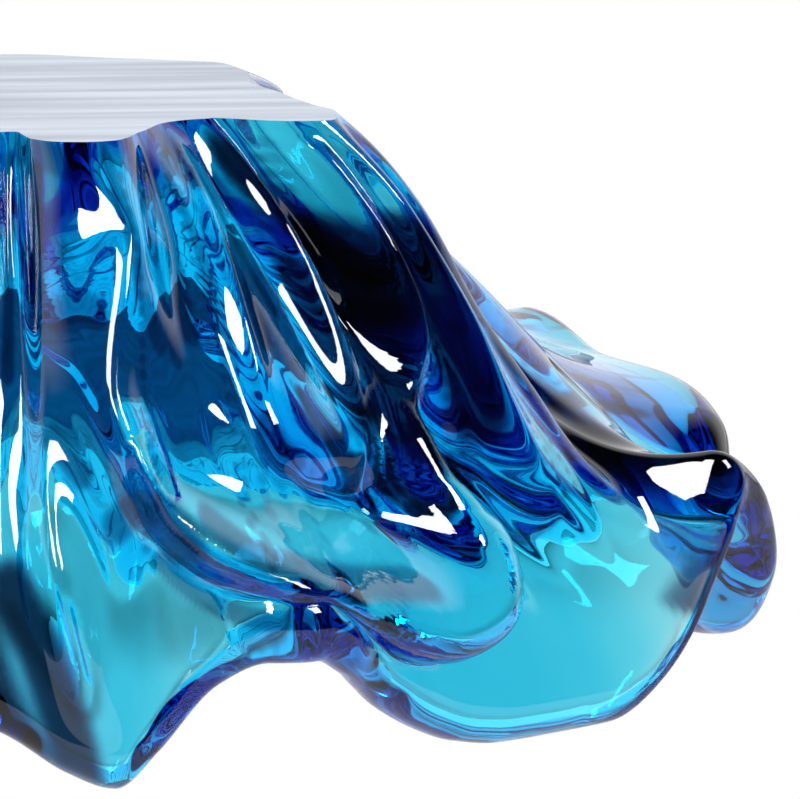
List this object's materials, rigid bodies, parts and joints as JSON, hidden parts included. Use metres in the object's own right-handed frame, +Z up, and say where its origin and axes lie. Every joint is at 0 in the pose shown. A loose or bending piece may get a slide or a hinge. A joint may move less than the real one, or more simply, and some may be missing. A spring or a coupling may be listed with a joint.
{
  "type": "ruffled glass bowl",
  "caption": "Heavy blue cased-glass bowl with a ribbed wall and a pulled, ruffled rim, standing upside down on its rim lobes with the ground foot face up.",
  "frame": {"origin": "centre of the bowl's box, on the surface that its rim lobes rest on", "axes": "+Z up through the ground face of the foot, -Y towards the viewer, +X to the viewer's right"},
  "size_m": [0.2916, 0.2836, 0.112],
  "materials": {
    "foot_glass": "clear glass, flat face ground to a fine frost",
    "clear_glass": "fire polished",
    "blue_glass": "transparent aqua to cobalt blue, deeper where it is thick",
    "clear_lining": "fire polished"
  },
  "bodies": {
    "root": {"ground_foot": "foot_glass", "outer_casing": "clear_glass", "blue_layer": "blue_glass", "inner_lining": "clear_lining"}
  },
  "joints": []
}
